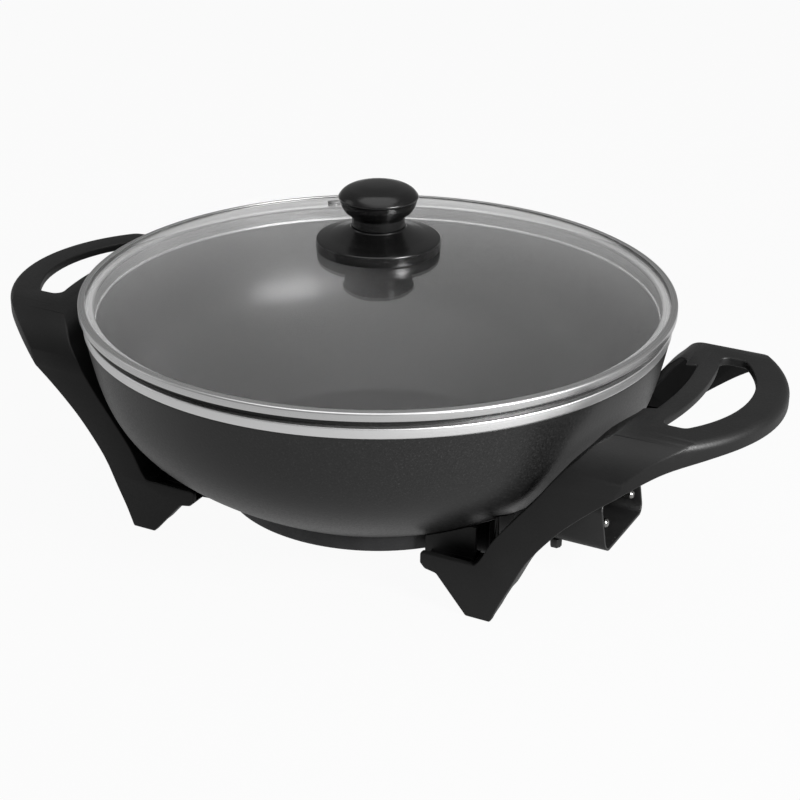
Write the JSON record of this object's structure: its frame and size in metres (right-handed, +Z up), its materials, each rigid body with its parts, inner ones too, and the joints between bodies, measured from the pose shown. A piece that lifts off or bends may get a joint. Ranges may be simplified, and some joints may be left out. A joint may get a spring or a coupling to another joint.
{
  "type": "electric wok",
  "caption": "Round electric wok with a coated bowl, bright rim band, domed glass lift-off lid with a knob, and two black handle stands that serve as legs, a control socket under one of them",
  "frame": {"origin": "on the table under the bowl axis, midway between the feet", "axes": "+X from the bowl axis to the handle over the control socket, +Y to the rear, +Z up"},
  "size_m": [0.4934, 0.35, 0.2102],
  "materials": {
    "bowl_coating": "satin non-stick coating with a fine fleck",
    "rim_steel": "polished band",
    "cast_base": "as cast",
    "tube_steel": "dull drawn tube",
    "pin_metal": "plated",
    "bush_white": "glazed ceramic",
    "guard_black": "satin",
    "screw_steel": "plated",
    "handle_black": "satin moulding with a fine grain",
    "lid_glass": "clear tempered glass",
    "lid_steel": "polished rolled ring",
    "seal_rubber": "matt silicone",
    "knob_black": "polished moulding",
    "insert_brass": "turned"
  },
  "bodies": {
    "base": {"wok_bowl": "bowl_coating", "rim_band": "rim_steel", "heating_base": "cast_base", "heating_element": "tube_steel", "terminal_pin_front": "pin_metal", "terminal_pin_rear": "pin_metal", "terminal_bush_front": "bush_white", "terminal_bush_rear": "bush_white", "sensor_sleeve": "tube_steel", "socket_guard": "guard_black", "guard_screws": "screw_steel", "right_handle": "handle_black", "left_handle": "handle_black", "right_screws": "screw_steel", "left_screws": "screw_steel", "right_washers": "screw_steel", "left_washers": "screw_steel"},
    "lid": {"lid_glass": "lid_glass", "lid_ring": "lid_steel", "lid_gasket": "seal_rubber", "vent_grommet": "seal_rubber", "knob_skirt": "handle_black", "knob_gasket": "seal_rubber", "lid_knob": "knob_black", "knob_insert": "insert_brass", "knob_screw": "screw_steel", "knob_washer": "screw_steel"}
  },
  "joints": [
    {"name": "lid_lift", "type": "slide", "parent": "base", "child": "lid", "axis": [0, 0, 1], "range_m": [0, 0.12]}
  ]
}
